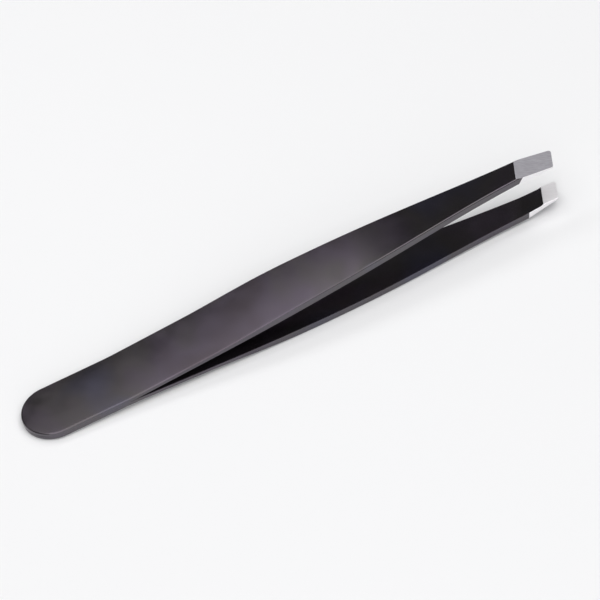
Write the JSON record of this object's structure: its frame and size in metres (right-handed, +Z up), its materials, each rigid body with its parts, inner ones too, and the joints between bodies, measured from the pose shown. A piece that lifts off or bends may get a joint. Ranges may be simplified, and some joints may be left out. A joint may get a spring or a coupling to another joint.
{
  "type": "slant tweezers",
  "caption": "Slant-tip tweezers: satin black stamped steel arms spot-welded at a round tail, with bare ground slanted tips that close when the arms are squeezed.",
  "frame": {"origin": "on the surface that the tweezers lie on, under the middle of their bounding box", "axes": "+X along the tweezers from the round tail to the slanted tips, +Y across them towards the longer corner of the tips, +Z up, away from the surface under the lower arm"},
  "size_m": [0.0959, 0.0102, 0.0106],
  "materials": {
    "black_coating": "satin black coating on stamped stainless steel",
    "bare_steel": "fine ground bare stainless steel"
  },
  "bodies": {
    "tail": {"upper_arm_tail": "black_coating", "lower_arm_tail": "black_coating", "spot_weld_front": "bare_steel", "spot_weld_rear": "bare_steel", "upper_arm_spring": "black_coating", "lower_arm_spring": "black_coating"},
    "upper_blade": {"upper_arm_blade": "black_coating", "upper_arm_tip": "bare_steel"},
    "lower_blade": {"lower_arm_blade": "black_coating", "lower_arm_tip": "bare_steel"}
  },
  "joints": [
    {"name": "upper_arm_flex", "type": "hinge", "parent": "tail", "child": "upper_blade", "pos_m": [-0.02551, 0, 0.00266], "axis": [0, 1, 0], "range_deg": [0, 2.71], "stiffness_Nm_per_rad": 1.2, "deforming": ["upper_arm_spring"]},
    {"name": "lower_arm_flex", "type": "hinge", "parent": "tail", "child": "lower_blade", "pos_m": [-0.02543, 0, 0.00122], "axis": [0, -1, 0], "range_deg": [0, 2.71], "stiffness_Nm_per_rad": 1.2, "deforming": ["lower_arm_spring"]}
  ],
  "couplings": [
    {"joint": "lower_arm_flex", "follows": "upper_arm_flex", "ratio": 1}
  ]
}
